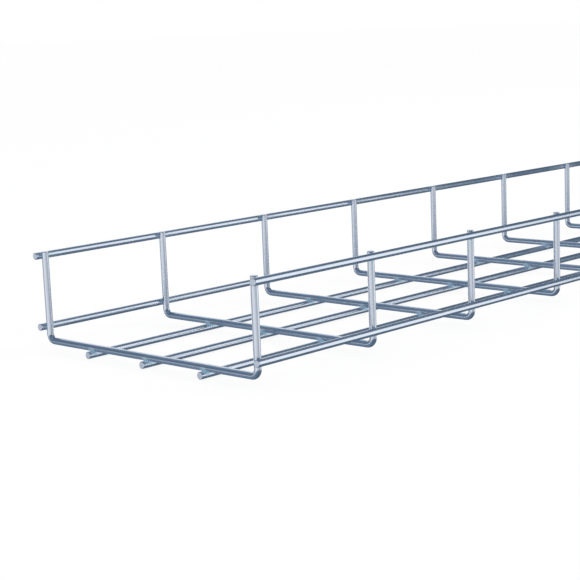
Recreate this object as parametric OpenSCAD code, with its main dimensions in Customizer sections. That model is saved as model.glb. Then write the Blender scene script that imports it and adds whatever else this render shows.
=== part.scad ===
// Wire mesh cable basket, one straight length.
// U-bent cross wires carry straight long wires on their outside: three under the
// floor and two on each side. Every crossing is resistance welded, so each long
// wire beds a little way into the cross wire it passes.
// The length runs along X, the open top faces +Z, and the origin is at the middle
// of the length and width, at the level the floor wires stand on.

/* [Wire] */
// Diameter of every wire
wire_d = 4.5; // [3:0.1:6]
// Depth that two wires sink into each other at a weld
weld_set = 0.5; // [0.1:0.05:0.6]

/* [Length] */
// Number of mesh bays along the length
bays = 30; // [2:1:50]
// Spacing of the cross wires
cross_pitch = 100; // [50:5:200]
// Cut end of a long wire beyond the middle of the last cross wire
end_stub = 5; // [3.5:0.5:30]

/* [Section] */
// Clear width between the uprights
inside_w = 180; // [140:5:500]
// Height of the upright tips above the top of the floor
inside_h = 55; // [40:1:150]
// Inner radius where a cross wire turns up from the floor
bend_inner_r = 2.25; // [2:0.25:15]

/* [Long wires] */
// Spacing of the three floor wires
floor_pitch = 50; // [20:1:60]
// Height of the lower side wires above the top of the floor
low_side_h = 6.5; // [5:0.5:15]
// Rise of the upright tips above the top side wires
tip_over = 0.5; // [0.5:0.25:6]

/* [Hidden] */
$fn = 48;
zinc = "#a9b8cc";
zinc_dark = "#8397b0";

wire_r = wire_d / 2;
// Distance between the centre lines of two wires that are welded together
weld_gap = wire_d - weld_set;
// Centre line of the cross wires: floor level, half width, bend and tips
floor_z = wire_r + weld_gap;
half_w = inside_w / 2 + wire_r;
bend_r = bend_inner_r + wire_r;
tip_z = floor_z + wire_r + inside_h;
// Centre lines of the long wires
side_y = half_w + weld_gap;
under_z = wire_r;
// The lower side wire is welded on the straight part of the upright, above its bend
low_side_z = floor_z + max(wire_r + low_side_h, bend_r + wire_r);
top_side_z = tip_z - tip_over - wire_r;

mesh_l = bays * cross_pitch;
long_l = mesh_l + 2 * end_stub;

// Long wires: name, then the Y and Z of the centre line
LONG = [
    ["floor_wire_front", -floor_pitch, under_z],
    ["floor_wire_middle", 0, under_z],
    ["floor_wire_back", floor_pitch, under_z],
    ["low_side_wire_front", -side_y, low_side_z],
    ["low_side_wire_back", side_y, low_side_z],
    ["top_side_wire_front", -side_y, top_side_z],
    ["top_side_wire_back", side_y, top_side_z]
];

function cross_x(i) = (i - bays / 2) * cross_pitch;
function cross_name(i) = str("cross_wire_", i < 9 ? "0" : "", i + 1);

// A straight round bar of the wire, centred, along X
module bar_x(l) {
    rotate([0, 90, 0]) cylinder(h = l, d = wire_d, center = true);
}

// Half of one cross wire, from the middle of the floor to the back upright's tip
module half_cross_wire() {
    floor_l = half_w - bend_r;
    rotate([-90, 0, 0]) cylinder(h = floor_l, d = wire_d);
    translate([0, floor_l, bend_r])
        rotate([90, 0, 90]) rotate([0, 0, -90])
            rotate_extrude(angle = 90) translate([bend_r, 0]) circle(d = wire_d);
    translate([0, half_w, bend_r])
        cylinder(h = tip_z - floor_z - bend_r, d = wire_d);
}

// One U-bent cross wire, with a saddle where each long wire beds into it
module cross_wire(i) {
    saddle_l = 4 * wire_d;
    color(zinc)
    translate([cross_x(i), 0, 0])
    difference() {
        translate([0, 0, floor_z]) {
            half_cross_wire();
            mirror([0, 1, 0]) half_cross_wire();
        }
        for (w = LONG) translate([0, w[1], w[2]]) bar_x(saddle_l);
    }
}

// One straight long wire, cut square at both ends
module long_wire(w) {
    color(zinc_dark)
    translate([0, w[1], w[2]]) bar_x(long_l);
}

for (w = LONG) long_wire(w);
for (i = [0:bays]) cross_wire(i);
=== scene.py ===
# %% [markdown]
# # A wire mesh cable basket
#
# The basket is welded from round steel wire. Thirty-one wires are bent into a U and
# stand across the length; seven straight wires run along it on the outside of the
# Us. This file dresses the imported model: every wire becomes a smooth tube carried
# along its own path, the welds get their squeezed-out metal, the sheared ends get
# their edges, and everything gets a bright zinc finish.

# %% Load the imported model
import math

import bpy
import numpy as np
from mathutils import Matrix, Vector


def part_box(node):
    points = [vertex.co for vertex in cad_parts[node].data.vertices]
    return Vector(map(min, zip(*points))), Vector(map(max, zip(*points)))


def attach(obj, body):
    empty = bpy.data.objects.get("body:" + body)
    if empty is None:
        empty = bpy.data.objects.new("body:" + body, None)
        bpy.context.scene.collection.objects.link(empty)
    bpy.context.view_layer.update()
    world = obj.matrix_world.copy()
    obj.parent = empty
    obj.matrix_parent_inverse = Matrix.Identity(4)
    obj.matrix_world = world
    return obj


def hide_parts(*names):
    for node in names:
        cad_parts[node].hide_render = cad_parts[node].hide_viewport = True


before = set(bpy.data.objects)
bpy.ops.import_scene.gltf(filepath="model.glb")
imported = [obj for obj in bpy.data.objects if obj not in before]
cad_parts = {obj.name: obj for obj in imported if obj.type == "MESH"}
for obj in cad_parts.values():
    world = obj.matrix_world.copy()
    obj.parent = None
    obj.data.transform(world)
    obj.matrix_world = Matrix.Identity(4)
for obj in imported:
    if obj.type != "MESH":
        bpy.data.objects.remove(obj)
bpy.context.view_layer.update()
cross_names = sorted(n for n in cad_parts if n.startswith("cross_wire_"))
long_names = sorted(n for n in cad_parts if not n.startswith("cross_wire_"))
print(len(cross_names), "cross wires and", len(long_names), "long wires")

# %% [markdown]
# ## Sizes
#
# The real wires stand at a steady pitch. Their places could be typed in here too,
# but then this file and the solids could drift apart, so all places are read from
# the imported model's boxes. A packed box can be a few hundredths of a millimetre
# small, because its round wires are many-sided there, so each place is rounded to
# the nearest 0.05 mm. Only the wire's radius and the bend's are sizes that a box
# can't give.

# %% Read the places of the wires
WIRE_R = 0.00225      # radius of every wire
BEND_R = 0.0045       # bend of a cross wire, at its centre line
SNAP = 0.00005        # places are rounded to this


def snapped(value):
    """Rounds a place in metres to the nearest multiple of SNAP."""
    return round(value / SNAP) * SNAP


def centre_of(node):
    """Middle of a node's box, as (x, y, z)."""
    low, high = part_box(node)
    return np.array([snapped((low[i] + high[i]) / 2) for i in range(3)])


first_low, first_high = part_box(cross_names[0])
cross_x = np.array([centre_of(n)[0] for n in cross_names])
half_w = snapped(first_high[1]) - WIRE_R
floor_z = snapped(first_low[2]) + WIRE_R
tip_z = snapped(first_high[2])
long_place = {n: centre_of(n)[1:] for n in long_names}
long_end = snapped(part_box(long_names[0])[1][0])
print("half width, floor, tips and ends:", np.round([half_w, floor_z, tip_z, long_end], 5))

# %% [markdown]
# ## Tubes along a path
#
# A real wire is a round bar, straight or bent. Blender could sweep a bevelled curve
# along its path, but then nothing could swell at a weld. So a wire is worked out as
# a circle carried along a line: each ring of the tube stands on a station of the
# line and each spoke points at an angle round it, and a whole wire is one grid of
# points, stations by spokes. Stations are set close together only where the surface
# changes, at welds, bends and ends, which keeps the mesh light.

# %% Stations along a line
CROWDED = 0.4         # share of a fine step below which a station is left out
NEAREST = 0.00005     # least distance between two stations of a finished wire


def stations(length, spots, fine, reach, coarse):
    """Stations from 0 to length: every coarse step, and every fine step within
    reach of each spot. Returns sorted, distinct distances."""
    steps = np.linspace(0, length, max(2, int(round(length / coarse)) + 1))
    offsets = np.arange(-reach, reach + fine / 2, fine)
    close = (np.asarray(spots)[:, None] + offsets[None, :]).ravel()
    s = np.unique(np.round(np.clip(np.concatenate([steps, close]), 0, length), 7))
    s = s[np.concatenate([[True], np.diff(s) > fine * CROWDED])]
    s[-1] = length
    return s


def joined(*groups):
    """The stations of all groups in order, without those that stand closer than
    NEAREST to the one before."""
    s = np.unique(np.concatenate(groups))
    return s[np.concatenate([[True], np.diff(s) > NEAREST])]


print("four coarse steps:", stations(1.0, [], fine=0.1, reach=0.1, coarse=0.25))

# %% Points and faces of a tube
SPOKES = 28
ANGLES = np.linspace(0, 2 * np.pi, SPOKES, endpoint=False)


def tube_points(centre, out, side, radius):
    """Point = centre + radius * (cos(angle) * out + sin(angle) * side), for every
    station and the angle of every spoke; radius may change with both."""
    return (centre[:, None, :]
            + radius[..., None] * (np.cos(ANGLES)[None, :, None] * out[:, None, :]
                                   + np.sin(ANGLES)[None, :, None] * side[:, None, :]))


def tube_faces(rows, spokes):
    """Quads between each ring and the next, then a fan of triangles over each end,
    all facing outwards where the spokes turn to the right about the path's
    direction, as out x side = direction says. The fans meet in the two points that
    come after the grid, first the first ring's and then the last ring's."""
    k = np.arange(spokes)
    after = (k + 1) % spokes
    ring = np.arange(rows - 1)[:, None] * spokes
    quads = np.stack([ring + k, ring + after, ring + spokes + after, ring + spokes + k],
                     axis=-1).reshape(-1, 4)
    last = (rows - 1) * spokes
    middle = np.full(spokes, rows * spokes)
    fans = np.vstack([np.stack([after, k, middle], axis=1),
                      np.stack([last + k, last + after, middle + 1], axis=1)])
    return quads, fans


def mesh_of(name, points, quads, fans):
    """A mesh of these points, whose faces are the quads and then the triangles."""
    corners = np.concatenate([quads.ravel(), fans.ravel()])
    sizes = np.concatenate([np.full(len(quads), 4), np.full(len(fans), 3)])
    starts = np.concatenate([[0], np.cumsum(sizes)[:-1]])
    mesh = bpy.data.meshes.new(name)
    mesh.vertices.add(len(points))
    mesh.vertices.foreach_set("co", points.astype(np.float32).ravel())
    mesh.loops.add(len(corners))
    mesh.loops.foreach_set("vertex_index", corners.astype(np.int32))
    mesh.polygons.add(len(sizes))
    mesh.polygons.foreach_set("loop_start", starts.astype(np.int32))
    mesh.update(calc_edges=True)
    return mesh


print("a tube has", SPOKES, "spokes")

# %% [markdown]
# ## Welds
#
# At a crossing the two hot wires are pressed together. A little metal squeezes out
# of the joint and rounds off the corner between them. A ball of metal could be set
# on each crossing, but it would show its own outline; lifting the wires' own
# surfaces gives one smooth form. Take a point on one wire and measure its gap, the
# distance to the other wire's surface: where the gap is small, the point is lifted
# outwards by (reach - gap)^2 / (4 * reach). That is the smooth union of two round
# bars, so both wires' lifted surfaces meet in one fillet.

# %% Weld swell and weld mark
WELD_REACH = 0.0013   # a surface is lifted where the gap is below this
MARK_REACH = 0.0030   # the matt mark has gone where the gap reaches this
FLOOR_MARK = 1.0      # strength of the mark on the floor's welds
SIDE_MARK = 0.3       # the welds on the sides take less of the mark


def swell(gap):
    """Lift = (reach - gap)^2 / (4 * reach) where the gap is below reach, else 0."""
    inside = np.clip(WELD_REACH - np.maximum(gap, 0), 0, None)
    return inside ** 2 / (4 * WELD_REACH)


def weld_mark(gap):
    """3 t^2 - 2 t^3 with t = 1 - gap / MARK_REACH: 1 on the weld, then falling
    smoothly to 0."""
    t = np.clip(1 - np.maximum(gap, 0) / MARK_REACH, 0, 1)
    return t * t * (3 - 2 * t)


print("largest lift at a weld:", round(float(swell(np.zeros(1))[0]) * 1000, 3), "mm")

# %% [markdown]
# ## Sheared ends
#
# Wire is cut by a shear. The blade rounds the edge it enters, and it leaves a flat,
# rough face. A Bevel modifier could round the edge afterwards, but the wire's own
# last rings can do it at once, drawn in along a quarter circle. The face is closed
# by two smaller rings and a middle point.

# %% Rounded ends
EDGE = 0.00028        # radius of the rounded edge
EDGE_STEP = 0.00007   # distance between the stations on it
CAP_SHARES = (0.35, 0.7)


def end_draw(s):
    """Radius lost at distance s = EDGE * (1 - sqrt(1 - t^2)), where t is 0 until s
    is EDGE from an end and then rises to 1 at the end itself."""
    d = np.minimum(s, s[-1] - s)
    t = np.clip(1 - d / EDGE, 0, 1)
    return EDGE * (1 - np.sqrt(np.clip(1 - t * t, 0, 1)))


def end_stations(length):
    """Stations on the rounded edges of both ends."""
    return stations(length, [0, length], EDGE_STEP, EDGE, length)


def with_caps(rings, centre):
    """Adds smaller rings to each end, point = centre + share * (point - centre),
    and after all rings the first centre and the last."""
    first, last = ([c + (ring - c) * share for share in CAP_SHARES]
                   for ring, c in ((rings[0], centre[0]), (rings[-1], centre[-1])))
    grid = np.concatenate([first, rings, last[::-1]])
    return np.vstack([grid.reshape(-1, 3), centre[0], centre[-1]])


print("edges are rounded by", round(EDGE * 1000, 2), "mm")

# %% [markdown]
# ## From a grid to a wire
#
# The die lines on drawn wire follow it round every bend, and the welds have their
# own look. An image could carry that, but a mesh can say it by itself: each point
# keeps how far along the wire it is, how near a weld it is, and a number that is
# one for the whole wire, because no two wires come off the reel quite alike.

# %% Wire objects
rng = np.random.default_rng(54)


def add_attribute(mesh, name, values):
    """Keeps one number, or one vector, for every point of the mesh."""
    kind, field = (("FLOAT_VECTOR", "vector") if values.ndim == 2
                   else ("FLOAT", "value"))
    attribute = mesh.attributes.new(name, kind, "POINT")
    attribute.data.foreach_set(field, values.astype(np.float32).ravel())


def wire_object(node, centre, out, side, radius, s, marks):
    """Makes one wire in the place of its node, from a radius and a weld mark for
    every station and spoke. Attributes: draw_coord = (s, WIRE_R * cos(angle),
    WIRE_R * sin(angle)); weld, the mark; and batch, one number for the wire."""
    caps = len(CAP_SHARES)
    rings = tube_points(centre, out, side, radius - end_draw(s)[:, None])
    rows = len(s) + 2 * caps
    quads, fans = tube_faces(rows, SPOKES)
    if np.dot(np.cross(out[0], side[0]), centre[1] - centre[0]) < 0:
        # the spokes turn the other way about this path, so its faces are turned too
        quads, fans = quads[:, ::-1], fans[:, ::-1]
    mesh = mesh_of(node + "_bar", with_caps(rings, centre), quads, fans)
    draw = np.stack([np.repeat(np.pad(s, caps, mode="edge"), SPOKES),
                     np.tile(np.cos(ANGLES) * WIRE_R, rows),
                     np.tile(np.sin(ANGLES) * WIRE_R, rows)], axis=1)
    add_attribute(mesh, "draw_coord", np.vstack([draw, [s[0], 0, 0], [s[-1], 0, 0]]))
    weld = np.pad(marks, ((caps, caps), (0, 0))).ravel()
    add_attribute(mesh, "weld", np.append(weld, [0, 0]))
    add_attribute(mesh, "batch", np.full(len(mesh.vertices), rng.uniform()))
    # the cut faces at both ends take the second material
    end_quads = caps * SPOKES
    material = np.zeros(len(mesh.polygons), np.int32)
    material[:end_quads] = 1
    material[len(quads) - end_quads:] = 1
    mesh.polygons.foreach_set("material_index", material)
    mesh.polygons.foreach_set("use_smooth", np.ones(len(mesh.polygons), bool))
    mesh.validate()
    obj = bpy.data.objects.new(node + "_bar", mesh)
    bpy.context.scene.collection.objects.link(obj)
    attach(obj, "root")
    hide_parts(node)
    return obj


print("each wire keeps draw_coord, weld and batch")

# %% [markdown]
# ## Cross wires
#
# A cross wire is bent into a U from one straight piece. It could be put together
# from bars and quarter rings, but their joints would break the shine, so the whole
# path is one function of the distance along it: from the front tip down the
# upright, round the bend, across the floor, round again and up to the back tip. The
# spoke at angle 0 always points out of the channel, to where the long wires are
# welded.

# %% The path of a cross wire
UP = tip_z - floor_z - BEND_R
TURN = BEND_R * math.pi / 2
ACROSS = 2 * (half_w - BEND_R)
CROSS_L = 2 * UP + 2 * TURN + ACROSS
JOINS = np.cumsum([UP, TURN, ACROSS, TURN])


def cross_path(s):
    """Centre line (y, z) and outward direction (y, z) at distance s. With angle a
    turned in the first bend and b in the second, the outward direction is
    -(cos(a + b), sin(a + b)), and each bend moves the line by BEND_R * sine of its
    angle and BEND_R * (1 - cosine)."""
    turn_a = np.clip((s - JOINS[0]) / BEND_R, 0, math.pi / 2)
    turn_b = np.clip((s - JOINS[2]) / BEND_R, 0, math.pi / 2)
    down = np.minimum(s, JOINS[0])
    run = np.clip(s - JOINS[1], 0, ACROSS)
    climb = np.clip(s - JOINS[3], 0, None)
    y = (-half_w + BEND_R * (1 - np.cos(turn_a)) + run + BEND_R * np.sin(turn_b))
    z = (tip_z - down - BEND_R * np.sin(turn_a) + BEND_R * (1 - np.cos(turn_b)) + climb)
    heading = turn_a + turn_b
    return np.stack([y, z], 1), np.stack([-np.cos(heading), -np.sin(heading)], 1)


print("a cross wire is", round(CROSS_L * 1000, 1), "mm long")

# %% Stations of a cross wire
long_yz = np.array([long_place[n] for n in long_names])
sample = np.linspace(0, CROSS_L, 4001)
sample_yz = cross_path(sample)[0]
cross_spots = [float(sample[np.argmin(((sample_yz - p) ** 2).sum(1))]) for p in long_yz]
bends = [UP + TURN / 2, UP + TURN * 1.5 + ACROSS]
cross_s = joined(
    stations(CROSS_L, cross_spots, fine=0.0005, reach=0.0035, coarse=0.02),
    end_stations(CROSS_L),
    *[np.linspace(b - TURN * 0.6, b + TURN * 0.6, 19) for b in bends])
print("a cross wire has", len(cross_s), "rings and", len(cross_spots), "welds")

# %% Make the cross wires
PINCH = 0.03                  # share of the radius that a bend takes away
PINCH_REACH = TURN * 0.55     # how far from a bend's middle that is felt
SWELL_RANGE = (0.8, 1.15)     # some welds squeeze out more metal than others
long_mark = np.where(long_yz[:, 1] < floor_z, FLOOR_MARK, SIDE_MARK)


def make_cross_wire(node, x):
    """The path at this x. Radius = WIRE_R * (1 - PINCH * bend * cos(angle)^2), where
    bend = exp(-(distance / PINCH_REACH)^4), as bending flattens round wire on its
    inside and outside; then the seven welds lift it."""
    yz, out_yz = cross_path(cross_s)
    n = len(cross_s)
    centre = np.column_stack([np.full(n, x), yz])
    out = np.column_stack([np.zeros(n), out_yz])
    side = np.tile([1.0, 0.0, 0.0], (n, 1))
    bend = sum(np.exp(-((cross_s - b) / PINCH_REACH) ** 4) for b in bends)
    radius = WIRE_R * (1 - PINCH * bend[:, None] * np.cos(ANGLES)[None, :] ** 2)
    points = tube_points(centre, out, side, radius)
    gaps = np.linalg.norm(points[:, :, None, 1:] - long_yz[None, None], axis=-1) - WIRE_R
    force = rng.uniform(*SWELL_RANGE, len(long_yz))
    lift = (swell(gaps) * force).max(-1)
    marks = (weld_mark(gaps) * long_mark).max(-1)
    return wire_object(node, centre, out, side, radius + lift, cross_s, marks)


cross_wires = [make_cross_wire(n, x) for n, x in zip(cross_names, cross_x)]
print(len(cross_wires), "cross wires,", len(cross_wires[0].data.polygons), "faces each")

# %% [markdown]
# ## Long wires
#
# A long wire is a straight rod, welded to the outside of every U. A cylinder would
# do for the rod but not for its thirty-one welds, so it is a tube as the cross wires
# are. Its spoke at angle 0 points at the Us. On the floor the cross wires run along
# Y above it; on a side they run along Z beside it.

# %% Make the long wires
long_l = 2 * long_end
long_s = joined(
    stations(long_l, cross_x + long_end, fine=0.0006, reach=0.003, coarse=0.025),
    end_stations(long_l))


def make_long_wire(node):
    """A straight tube along X, of radius WIRE_R + swell(gap). The gap is the
    distance to the centre line of the nearest cross wire, less WIRE_R."""
    y, z = long_place[node]
    on_floor = z < floor_z
    n = len(long_s)
    x = long_s - long_end
    inward = np.array([0, 0, 1.0] if on_floor else [0, -np.sign(y), 0])
    centre = np.column_stack([x, np.full(n, y), np.full(n, z)])
    out = np.tile(inward, (n, 1))
    side = np.cross([1.0, 0, 0], out)
    radius = np.full((n, SPOKES), WIRE_R)
    points = tube_points(centre, out, side, radius)
    nearest = cross_x[np.argmin(np.abs(x[:, None] - cross_x[None]), axis=1)]
    along = points[..., 0] - nearest[:, None]
    away = points[..., 2] - floor_z if on_floor else np.abs(points[..., 1]) - half_w
    gaps = np.hypot(along, away) - WIRE_R
    marks = weld_mark(gaps) * (FLOOR_MARK if on_floor else SIDE_MARK)
    return wire_object(node, centre, out, side, radius + swell(gaps), long_s, marks)


long_wires = [make_long_wire(n) for n in long_names]
print(len(long_wires), "long wires,", len(long_wires[0].data.polygons), "faces each")

# %% [markdown]
# ## Zinc finish
#
# Bright electroplated zinc is a cool, slightly blue metal. Three things break up
# its shine: fine lines left by the drawing die, which run along the wire; soft
# clouds where the plating is thicker or duller; and the welds, which stay matt. One
# flat metal colour would look like new chrome. A node group works out all three for
# the walls of the wires and for their cut ends, which use it with other values.

# %% Node helpers


def add(tree, kind, **values):
    """Adds a node and sets its properties and its inputs by name."""
    node = tree.nodes.new(kind)
    for key, value in values.items():
        if key in node.inputs.keys():
            node.inputs[key].default_value = value
        else:
            setattr(node, key, value)
    return node


def feed(tree, pairs):
    """Gives each input its value, which is a socket or a plain number or colour."""
    for socket, value in pairs:
        if isinstance(value, (int, float, tuple)):
            socket.default_value = value
        else:
            tree.links.new(value, socket)


def maths(tree, operation, *values):
    """A Math node; each value is a socket or a plain number."""
    node = add(tree, "ShaderNodeMath", operation=operation)
    feed(tree, zip(node.inputs, values))
    return node.outputs[0]


def blend_colour(tree, factor, a, b):
    """Colour = a * (1 - factor) + b * factor; each may be a socket."""
    node = add(tree, "ShaderNodeMix", data_type="RGBA")
    feed(tree, ((node.inputs[0], factor), (node.inputs[6], a), (node.inputs[7], b)))
    return node.outputs[2]


print("helpers: add, feed, maths, blend_colour")

# %% The sockets of the plating group
ZINC_THIN = (0.60, 0.67, 0.78, 1)
ZINC_THICK = (0.74, 0.78, 0.86, 1)
ZINC_BATCH = (0.64, 0.72, 0.82, 1)
WELD_TEAL = (0.48, 0.74, 0.88, 1)

plating = bpy.data.node_groups.new("zinc_plating", "ShaderNodeTree")
for way, sockets in (
        ("INPUT", (("Along Wire", "Vector"), ("Place", "Vector"), ("Weld", "Float"),
                   ("Batch", "Float"))),
        ("OUTPUT", (("Color", "Color"), ("Roughness", "Float"), ("Metallic", "Float"),
                    ("Height", "Float")))):
    for name, kind in sockets:
        plating.interface.new_socket(name, in_out=way, socket_type="NodeSocket" + kind)
print("group", plating.name, "has", len(plating.interface.items_tree), "sockets")

# %% [markdown]
# ## What the plating does
#
# The die lines are noise squeezed round the wire and stretched along it. The clouds
# are noise at the size of a fingertip, and the zinc's crystals are noise of half a
# millimetre and finer. A weld turns slightly teal and matt, shows less bare metal
# and has more grain. Clouds and lines also change the roughness a little, since a
# shine that is even everywhere looks like plastic.

# %% The nodes of the plating group
BATCH_TINT, WELD_TINT = 0.35, 0.8      # how far a batch and a weld change the colour
ROUGH = 0.12                           # roughness of the smoothest zinc
ROUGH_CLOUDS, ROUGH_LINES, ROUGH_WELD = 0.10, 0.08, 0.42   # what each adds to it
WELD_METAL = -0.55                     # change of the share of bare metal at a weld
LINE_HEIGHT = 0.4
GRAIN, WELD_GRAIN = 0.08, 0.4          # height of the crystals, and more at a weld


def fill_plating(group):
    """Colour, roughness, share of bare metal and height of zinc on drawn wire."""
    enter, leave = add(group, "NodeGroupInput"), add(group, "NodeGroupOutput")
    weld = enter.outputs["Weld"]
    link = group.links.new
    stretch = add(group, "ShaderNodeMapping", Scale=(12.0, 2600.0, 2600.0))
    lines = add(group, "ShaderNodeTexNoise", Scale=1.0, Detail=3.0, Roughness=0.6)
    clouds = add(group, "ShaderNodeTexNoise", Scale=70.0, Detail=4.0, Roughness=0.55)
    crystals = add(group, "ShaderNodeTexNoise", Scale=2200.0, Detail=2.0, Roughness=0.5)
    link(enter.outputs["Along Wire"], stretch.inputs["Vector"])
    link(stretch.outputs[0], lines.inputs["Vector"])
    link(enter.outputs["Place"], clouds.inputs["Vector"])
    link(enter.outputs["Place"], crystals.inputs["Vector"])
    cloudy = blend_colour(group, clouds.outputs[0], ZINC_THIN, ZINC_THICK)
    batch_share = maths(group, "MULTIPLY", enter.outputs["Batch"], BATCH_TINT)
    shifted = blend_colour(group, batch_share, cloudy, ZINC_BATCH)
    weld_share = maths(group, "MULTIPLY", weld, WELD_TINT)
    colour = blend_colour(group, weld_share, shifted, WELD_TEAL)
    rough = maths(group, "MULTIPLY_ADD", clouds.outputs[0], ROUGH_CLOUDS, ROUGH)
    rough = maths(group, "MULTIPLY_ADD", lines.outputs[0], ROUGH_LINES, rough)
    rough = maths(group, "MULTIPLY_ADD", weld, ROUGH_WELD, rough)
    metal = maths(group, "MULTIPLY_ADD", weld, WELD_METAL, 1.0)
    grain = maths(group, "MULTIPLY_ADD", weld, WELD_GRAIN, GRAIN)
    relief = maths(group, "MULTIPLY", crystals.outputs[0], grain)
    relief = maths(group, "MULTIPLY_ADD", lines.outputs[0], LINE_HEIGHT, relief)
    for name, socket in (("Color", colour), ("Roughness", rough), ("Metallic", metal),
                         ("Height", relief)):
        link(socket, leave.inputs[name])


fill_plating(plating)
print("group", plating.name, "has", len(plating.nodes), "nodes")

# %% The wire materials
RELIEF = 0.22         # strength of the bump


def wire_material(name, depth, metal, duller):
    """Zinc on drawn wire. The plating's relief is depth metres deep; its share of
    bare metal is multiplied by metal; and duller is added to its roughness."""
    material = bpy.data.materials.new(name)
    material.use_nodes = True
    tree = material.node_tree
    shader = tree.nodes["Principled BSDF"]
    use = add(tree, "ShaderNodeGroup", node_tree=plating)
    place = add(tree, "ShaderNodeTexCoord")
    bump = add(tree, "ShaderNodeBump", Strength=RELIEF, Distance=depth)
    link = tree.links.new
    for attribute, output, socket in (("draw_coord", "Vector", "Along Wire"),
                                      ("weld", "Fac", "Weld"),
                                      ("batch", "Fac", "Batch")):
        source = add(tree, "ShaderNodeAttribute", attribute_name=attribute)
        link(source.outputs[output], use.inputs[socket])
    link(place.outputs["Object"], use.inputs["Place"])
    link(use.outputs["Color"], shader.inputs["Base Color"])
    link(maths(tree, "MULTIPLY", use.outputs["Metallic"], metal), shader.inputs["Metallic"])
    link(maths(tree, "ADD", use.outputs["Roughness"], duller), shader.inputs["Roughness"])
    link(use.outputs["Height"], bump.inputs["Height"])
    link(bump.outputs["Normal"], shader.inputs["Normal"])
    return material


zinc = wire_material("zinc_plated_wire", depth=0.00004, metal=1.0, duller=0.0)
cut_steel = wire_material("sheared_wire_end", depth=0.00002, metal=0.55, duller=0.2)
for wire in cross_wires + long_wires:
    wire.data.materials.append(zinc)
    wire.data.materials.append(cut_steel)
print("materials:", zinc.name, cut_steel.name)

# %% [markdown]
# ## Floor
#
# Bare metal has no colour of its own to show: it shows the room. So the room
# matters as much as the finish. The floor is pale and matt. More light could turn it
# white, but it would wash out the wires too, so it glows just enough to look white,
# and it still takes the soft shadow of the wires. Reflections pass it by and find the
# dark cloth of a later step below it, a painted reflection that is dark where the
# pale floor would show.

# %% Floor
FLOOR_DROP = 0.0003   # the floor lies this far under the wires
FLOOR_GLOW = 0.88     # share of the floor's look that is its own glow


def panel(name, corners):
    """One flat stage piece with these corners."""
    mesh = bpy.data.meshes.new(name)
    mesh.from_pydata(corners, [], [tuple(range(len(corners)))])
    obj = bpy.data.objects.new(name, mesh)
    bpy.context.scene.collection.objects.link(obj)
    return obj


floor = panel("floor", [(-30, -30, -FLOOR_DROP), (30, -30, -FLOOR_DROP),
                        (30, 30, -FLOOR_DROP), (-30, 30, -FLOOR_DROP)])
# painted reflection: reflections see the dark cloth below instead of the pale floor
floor.visible_glossy = False
pale = bpy.data.materials.new("pale_floor")
pale.use_nodes = True
pale_tree = pale.node_tree
paint = pale_tree.nodes["Principled BSDF"]
paint.inputs["Base Color"].default_value = (0.93, 0.93, 0.93, 1)
paint.inputs["Roughness"].default_value = 0.9
glow = add(pale_tree, "ShaderNodeEmission", Color=(1, 1, 1, 1), Strength=1.0)
ray = add(pale_tree, "ShaderNodeLightPath")
seen = maths(pale_tree, "MAXIMUM", ray.outputs["Is Camera Ray"],
             maths(pale_tree, "MAXIMUM", ray.outputs["Is Glossy Ray"],
                   ray.outputs["Is Transmission Ray"]))
floor_mix = add(pale_tree, "ShaderNodeMixShader")
feed(pale_tree, zip(floor_mix.inputs, (maths(pale_tree, "MULTIPLY", seen, FLOOR_GLOW),
                                       paint.outputs[0], glow.outputs[0])))
pale_tree.links.new(floor_mix.outputs[0], pale_tree.nodes["Material Output"].inputs[0])
floor.data.materials.append(pale)
print("the floor lies", FLOOR_DROP * 1000, "mm under the wires")

# %% [markdown]
# ## A plain white room
#
# The basket stands in a white room with even light from all sides. Several lamps
# could give that as well, but a white world is even by itself and throws no hard
# shadow. Its strength is 1, so a colour renders about as it is written.

# %% World
world = bpy.data.worlds.new("studio")
bpy.context.scene.world = world
world.use_nodes = True
sky = world.node_tree.nodes["Background"]
sky.inputs["Color"].default_value = (1, 1, 1, 1)
sky.inputs["Strength"].default_value = 1.0
print("world:", world.name)

# %% [markdown]
# ## Painted reflection: dark cloth round the table
#
# A bright wire in an all-white room has no edges: it reflects white everywhere and
# melts into the background. In a studio, dark cloth hangs round the table, with a
# gap at the height of the table and one soft opening at the front. Single cards
# would each need their place; here the cloth is one large ball that only reflections
# can see. It is a painted reflection: it glows by itself, casts no shadow and takes
# no light. Each point of it is either slate cloth or an opening to the white room
# behind.

# %% The shape of the cloth
CLOTH_R = 9.0


def ball(name, rows, columns):
    """A closed ball: point = CLOTH_R * (cos a * cos e, sin a * cos e, sin e) for
    every azimuth a and elevation e, with one point at each pole."""
    e = np.linspace(-math.pi / 2, math.pi / 2, rows + 2)[1:-1]
    a = np.linspace(0, 2 * math.pi, columns, endpoint=False)
    e, a = np.meshgrid(e, a, indexing="ij")
    grid = np.stack([np.cos(a) * np.cos(e), np.sin(a) * np.cos(e), np.sin(e)], -1)
    points = CLOTH_R * np.vstack([grid.reshape(-1, 3), [[0, 0, -1], [0, 0, 1]]])
    return mesh_of(name, points, *tube_faces(rows, columns))


# painted reflection: a glowing ball that only reflections see
cloth = bpy.data.objects.new("painted_reflection_cloth", ball("painted_reflection_cloth", 40, 80))
bpy.context.scene.collection.objects.link(cloth)
print("the cloth has", len(cloth.data.polygons), "faces")

# %% [markdown]
# ## What each opening does
#
# A wire shows a different part of the cloth on each side of its round. The upright
# wires see a level ring of it, so the gap lights them. The long wires see a strip
# that rises over the front, so one wide opening there gives each a bright band
# between two dark lines. The cross wires on the floor see the left side, which
# stays dark, and the high opening behind lights only their upper edges. Holes cut
# into the mesh would have hard rims, so the openings are soft masks over the
# direction in which a point of the cloth lies.

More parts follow.
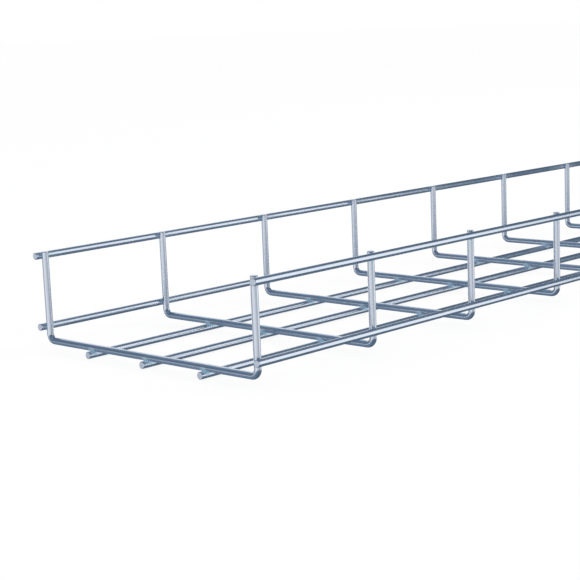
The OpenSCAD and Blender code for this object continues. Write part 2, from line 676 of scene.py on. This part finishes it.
# %% Directions
cloth_look = bpy.data.materials.new("painted_reflection_cloth")
cloth_look.use_nodes = True
cloth.data.materials.append(cloth_look)
cloth_tree = cloth_look.node_tree
cloth_tree.nodes.remove(cloth_tree.nodes["Principled BSDF"])
spot = add(cloth_tree, "ShaderNodeTexCoord")
unit = add(cloth_tree, "ShaderNodeVectorMath", operation="NORMALIZE")
cloth_tree.links.new(spot.outputs["Object"], unit.inputs[0])
direction = add(cloth_tree, "ShaderNodeSeparateXYZ")
cloth_tree.links.new(unit.outputs[0], direction.inputs[0])
height = direction.outputs["Z"]


def soft_step(value, low, high):
    """0 at low and beyond it, 1 at high and beyond it, and a smooth change between;
    where low is the larger of the two, the step goes down as the value grows."""
    node = add(cloth_tree, "ShaderNodeMapRange", interpolation_type="SMOOTHSTEP")
    ends = (low, high, 0.0, 1.0) if low < high else (high, low, 1.0, 0.0)
    feed(cloth_tree, zip(node.inputs, (value, *ends)))
    return node.outputs[0]


def toward(azimuth, elevation):
    """Unit vector (cos a * cos e, sin a * cos e, sin e) of angles in degrees."""
    a, e = math.radians(azimuth), math.radians(elevation)
    return (math.cos(a) * math.cos(e), math.sin(a) * math.cos(e), math.sin(e))


def facing(azimuth, elevation):
    """Cosine of the angle between a point of the cloth and this direction."""
    node = add(cloth_tree, "ShaderNodeVectorMath", operation="DOT_PRODUCT")
    feed(cloth_tree, zip(node.inputs, (unit.outputs[0], toward(azimuth, elevation))))
    return node.outputs["Value"]


print("straight ahead of the camera lies", np.round(toward(43, -10), 2))

# %% The gap at table height
GAP_LOW = (-0.36, -0.27)      # the gap opens between these heights
GAP_HIGH = (0.09, 0.01)       # and closes between these
GAP_OPEN = ((-180, 1.0), (-150, 0.92), (-125, 0.70), (-97, 0.53), (-70, 0.70),
            (-40, 0.80), (0, 0.90), (60, 0.95), (105, 0.90), (122, 0.27),
            (140, 0.27), (156, 1.0), (180, 1.0))   # azimuth and how open it is there

turn = maths(cloth_tree, "ARCTAN2", direction.outputs["Y"], direction.outputs["X"])
ring = add(cloth_tree, "ShaderNodeValToRGB")
feed(cloth_tree, [(ring.inputs[0],
                   maths(cloth_tree, "MULTIPLY_ADD", turn, 0.5 / math.pi, 0.5))])
stops = ring.color_ramp.elements
ring.color_ramp.interpolation = "EASE"
for i, (azimuth, share) in enumerate(GAP_OPEN):
    at = (azimuth + 180) / 360
    stop = stops[0] if i == 0 else stops[-1] if i == len(GAP_OPEN) - 1 else stops.new(at)
    stop.position = at
    stop.color = (share, share, share, 1)
band = maths(cloth_tree, "MULTIPLY", soft_step(height, *GAP_LOW),
             soft_step(height, *GAP_HIGH))
gap = maths(cloth_tree, "MULTIPLY", band, ring.outputs["Color"])
print("the gap has", len(stops), "stops round the table")

# %% The round openings
FRONT_OPENING = (-45, 8, 27, 34)  # azimuth, elevation, fully open within, closed beyond
HIGH_OPENING = (66, 28, 17, 26)
SMALL_OPENING = (43, 5, 5, 10)


def round_opening(azimuth, elevation, full, gone):
    """1 within the angle full of a direction and 0 beyond the angle gone."""
    return soft_step(facing(azimuth, elevation), math.cos(math.radians(gone)),
                     math.cos(math.radians(full)))


front_open = round_opening(*FRONT_OPENING)
opening = maths(cloth_tree, "MAXIMUM", gap, front_open)
for place in (HIGH_OPENING, SMALL_OPENING):
    opening = maths(cloth_tree, "MAXIMUM", opening, round_opening(*place))
print("round openings at azimuths", FRONT_OPENING[0], HIGH_OPENING[0], SMALL_OPENING[0])

# %% The cloth itself
# painted reflection colours: the ball glows a darker slate to the right and a lighter one
# towards the left
CLOTH_RIGHT = (0.085, 0.12, 0.16, 1)
CLOTH_LEFT = (0.125, 0.18, 0.25, 1)
LEFT = (140, 0)               # direction of the lighter cloth
EDGE_OF_LEFT = (0.1, 0.7)     # cosines between which one cloth turns into the other
LIT_ABOVE = (0.30, 0.95)      # painted light: the cloth glows brighter from here to here
HIGH_LIGHT = 0.8
LIT_BELOW = (-0.20, -0.60)    # and painted light again from here down to here
LOW_LIGHT = 0.45
PAINTED_GLOW_LIFT = 0.18              # painted highlight: a white glow added in the front opening, as if a lamp stood behind it

slate = add(cloth_tree, "ShaderNodeEmission")
cloth_colour = blend_colour(cloth_tree, soft_step(facing(*LEFT), *EDGE_OF_LEFT),
                            CLOTH_RIGHT, CLOTH_LEFT)
# painted light on the cloth: its glow is stronger high up and again low down
lit = maths(cloth_tree, "MULTIPLY_ADD", soft_step(height, *LIT_ABOVE), HIGH_LIGHT, 1.0)
lit = maths(cloth_tree, "MULTIPLY_ADD", soft_step(height, *LIT_BELOW), LOW_LIGHT, lit)
feed(cloth_tree, ((slate.inputs["Color"], cloth_colour), (slate.inputs["Strength"], lit)))
clear = add(cloth_tree, "ShaderNodeBsdfTransparent")
cloth_mix = add(cloth_tree, "ShaderNodeMixShader")
feed(cloth_tree, zip(cloth_mix.inputs, (opening, slate.outputs[0], clear.outputs[0])))
# painted highlight: extra white glow in the front opening, seen only in reflections; no
# lamp stands there
painted_highlight_glow = add(cloth_tree, "ShaderNodeEmission", Color=(1, 1, 1, 1))
feed(cloth_tree, [(painted_highlight_glow.inputs["Strength"],
                   maths(cloth_tree, "MULTIPLY", front_open, PAINTED_GLOW_LIFT))])
both = add(cloth_tree, "ShaderNodeAddShader")
feed(cloth_tree, zip(both.inputs, (cloth_mix.outputs[0], painted_highlight_glow.outputs[0])))
cloth_tree.links.new(both.outputs[0], cloth_tree.nodes["Material Output"].inputs[0])
print("the cloth's material has", len(cloth_tree.nodes), "nodes")

# %% [markdown]
# ## A dark card, a painted reflection
#
# Far along the basket the back and floor wires would still see the front opening. A
# smaller opening would take the light from the near wires as well. A card that
# stands close along the front hides it from the far ones alone, so they darken
# towards the far end, while the near wires look past its edge. Like the cloth, the
# card is a painted reflection: it glows dark slate, casts no shadow, and only
# reflections show it.

# %% Stand the card
CARD_X = (-0.16, 3.5)
CARD_Y = -0.7
CARD_Z = (-0.5, 1.6)

card = panel("painted_reflection_card", [(CARD_X[0], CARD_Y, CARD_Z[0]), (CARD_X[1], CARD_Y, CARD_Z[0]),
                           (CARD_X[1], CARD_Y, CARD_Z[1]), (CARD_X[0], CARD_Y, CARD_Z[1])])
card_look = bpy.data.materials.new("painted_reflection_card")
card_look.use_nodes = True
card.data.materials.append(card_look)
card_tree = card_look.node_tree
card_tree.nodes.remove(card_tree.nodes["Principled BSDF"])
# painted reflection: the card glows dark slate and only reflections see it
card_face = add(card_tree, "ShaderNodeEmission", Color=CLOTH_LEFT, Strength=1.0)
card_tree.links.new(card_face.outputs[0], card_tree.nodes["Material Output"].inputs[0])
# the cloth and the card are painted reflections: they show in reflections alone
for thing in (cloth, card):
    thing.visible_camera = False
    thing.visible_diffuse = False
    thing.visible_shadow = False
    thing.visible_transmission = False
    thing.visible_volume_scatter = False
print("the card is", round(card.dimensions.x, 2), "m long")

# %% [markdown]
# ## A soft lamp
#
# The white room alone would leave no side of the basket lighter than another. A sun
# lamp would draw hard shadows, so one large square lamp stands high at the front
# right. It is turned to face the middle of the basket: its own Z axis points away
# from its aim, and its X axis stays level.

# %% A soft lamp
LAMP_AT = np.array([1.5, -3.0, 2.5])
LAMP_SIZE = 1.5
LAMP_POWER = 60

softbox = bpy.data.lights.new("key_softbox", "AREA")
softbox.size = LAMP_SIZE
softbox.energy = LAMP_POWER
lamp = bpy.data.objects.new("key_softbox", softbox)
lamp.location = LAMP_AT
lamp_z = LAMP_AT / np.linalg.norm(LAMP_AT)
lamp_x = np.cross([0, 0, 1.0], lamp_z)
lamp_x /= np.linalg.norm(lamp_x)
lamp_turn = np.column_stack([lamp_x, np.cross(lamp_z, lamp_x), lamp_z])
lamp.rotation_euler = Matrix(lamp_turn.tolist()).to_euler()
lamp.visible_glossy = False
bpy.context.scene.collection.objects.link(lamp)
print("the lamp stands", round(float(np.linalg.norm(LAMP_AT)), 2), "m away")

# %% [markdown]
# ## Camera
#
# The camera stands low at the left front corner and looks along the basket. A short
# lens close by would draw the near end much larger than the rest, so it has a long
# one, and the far wires still look almost as thick as the near ones. It is placed
# from the first cross wire, and held with a slight roll.

# %% Place the camera
AZIMUTH, ELEVATION, ROLL = map(math.radians, (-46.678, 9.884, -2.323))
LENS_MM = 94.363
FROM_CORNER = np.array([-0.5871, -0.6729, 0.1921])   # from the first cross wire's floor

camera_at = np.array([cross_x[0], 0, floor_z]) + FROM_CORNER
back = np.array([math.sin(AZIMUTH) * math.cos(ELEVATION),
                 -math.cos(AZIMUTH) * math.cos(ELEVATION), math.sin(ELEVATION)])
level = np.cross(-back, [0, 0, 1.0])
level /= np.linalg.norm(level)
upright = np.cross(level, -back)
right = math.cos(ROLL) * level + math.sin(ROLL) * upright
up = math.cos(ROLL) * upright - math.sin(ROLL) * level
lens = bpy.data.cameras.new("camera")
lens.sensor_width = 36.0
lens.lens = LENS_MM
lens.clip_end = 100
camera = bpy.data.objects.new("camera", lens)
camera.matrix_world = Matrix([[right[i], up[i], back[i], camera_at[i]] for i in range(3)]
                             + [[0, 0, 0, 1]])
bpy.context.scene.collection.objects.link(camera)
bpy.context.scene.camera = camera
bpy.context.scene.view_settings.view_transform = "Standard"
print("lens", round(lens.lens, 2), "mm")
